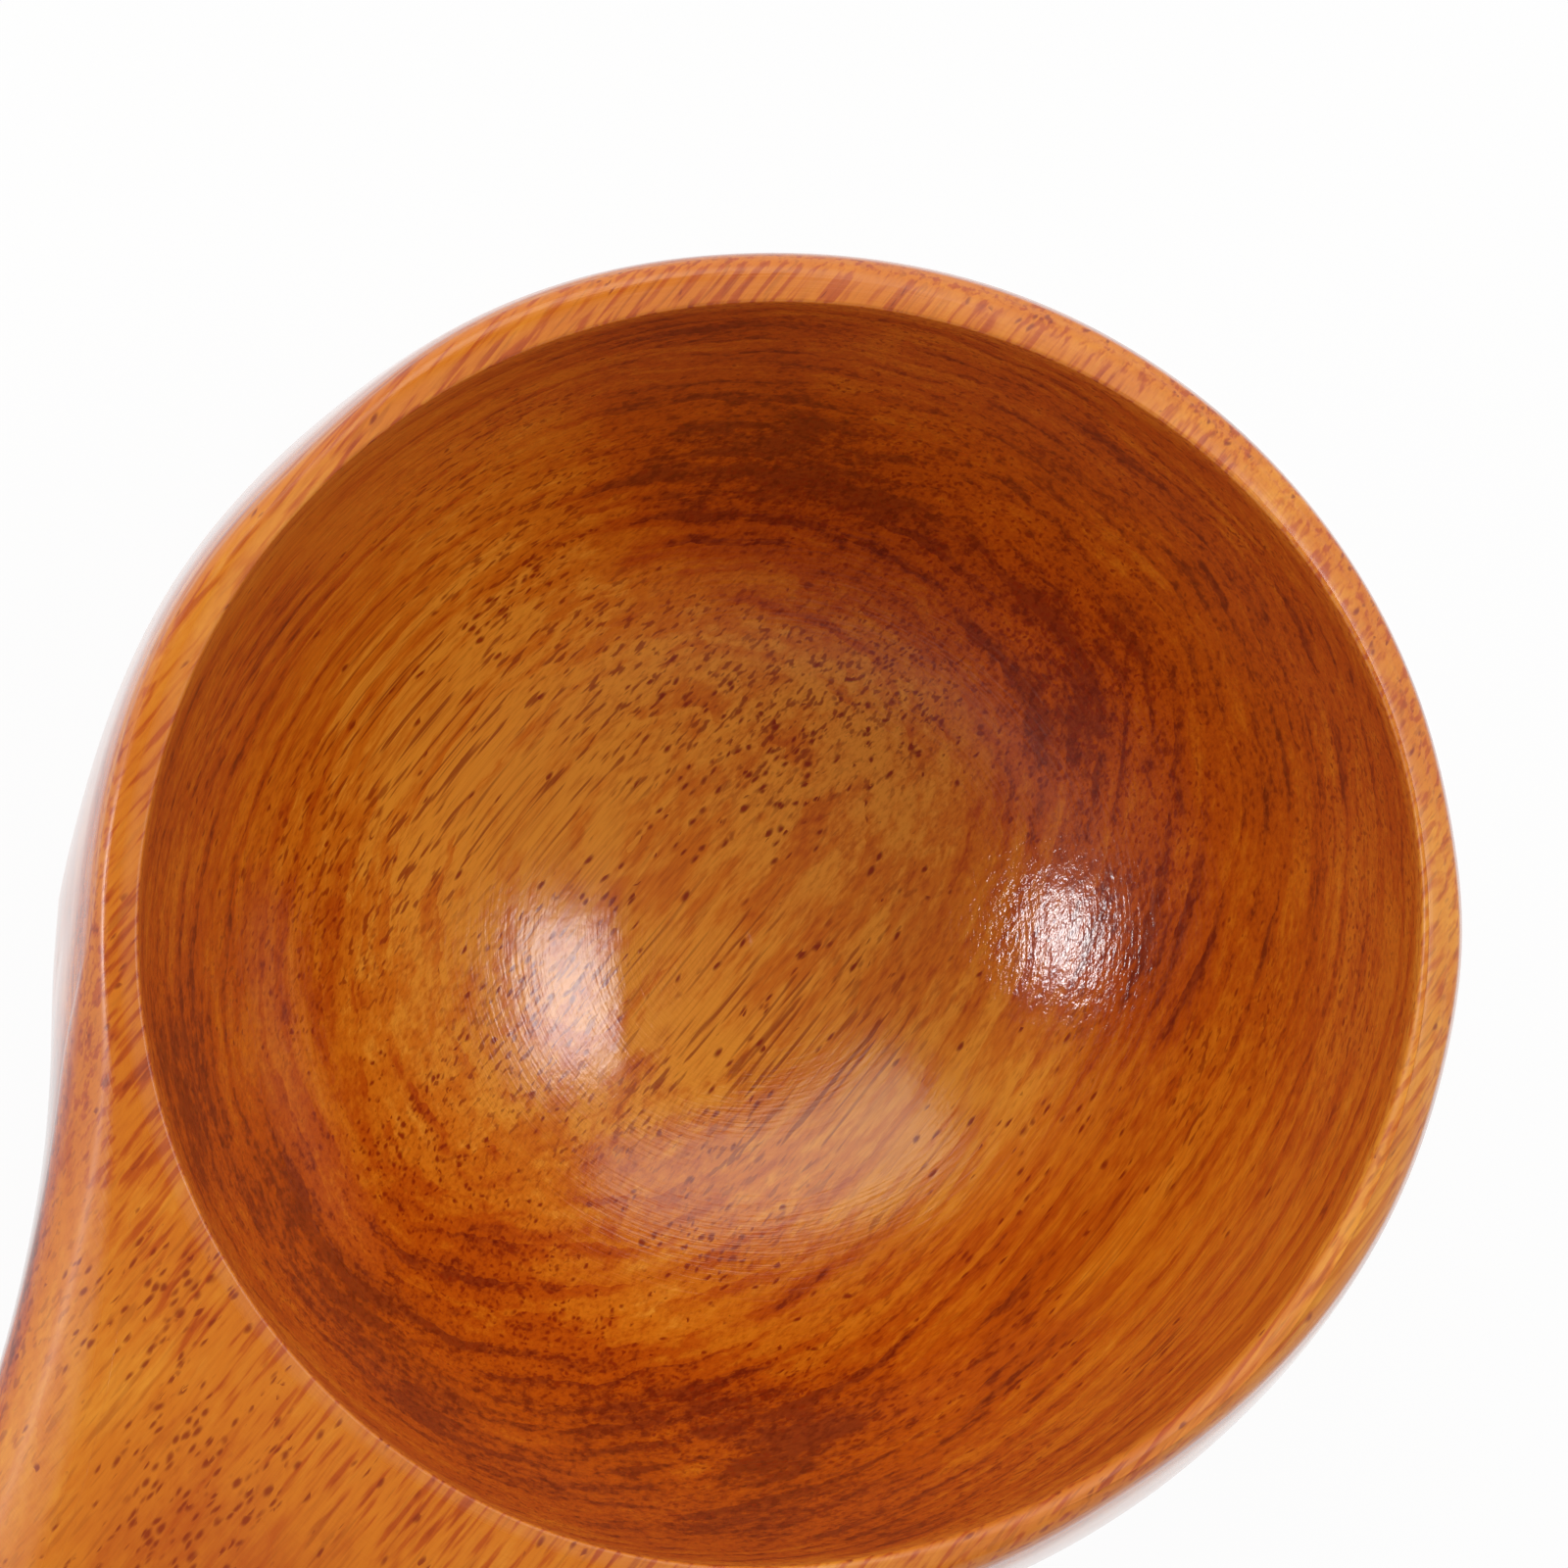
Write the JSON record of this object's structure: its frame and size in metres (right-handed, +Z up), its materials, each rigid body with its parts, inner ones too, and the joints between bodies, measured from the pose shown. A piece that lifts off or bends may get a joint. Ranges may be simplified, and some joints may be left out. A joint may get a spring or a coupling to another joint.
{
  "type": "wooden sauna ladle",
  "caption": "Carved wooden ladle for throwing water in a sauna: a round bowl with a flared neck, and a flat-topped handle tenoned and pegged into it.",
  "frame": {"origin": "on the table under the middle of the ladle's box, as it lies on its foot's edge and the handle's end", "axes": "+X from the bowl along the handle to its end, +Z up"},
  "size_m": [0.378, 0.116, 0.0712],
  "materials": {
    "bowl_wood": "polished clear lacquer over honey-brown hardwood",
    "handle_wood": "polished clear lacquer over honey-brown hardwood",
    "peg_wood": "end grain sanded flush under the same lacquer"
  },
  "bodies": {
    "root": {"bowl_and_neck": "bowl_wood", "handle": "handle_wood", "front_peg": "peg_wood", "rear_peg": "peg_wood"}
  },
  "joints": []
}
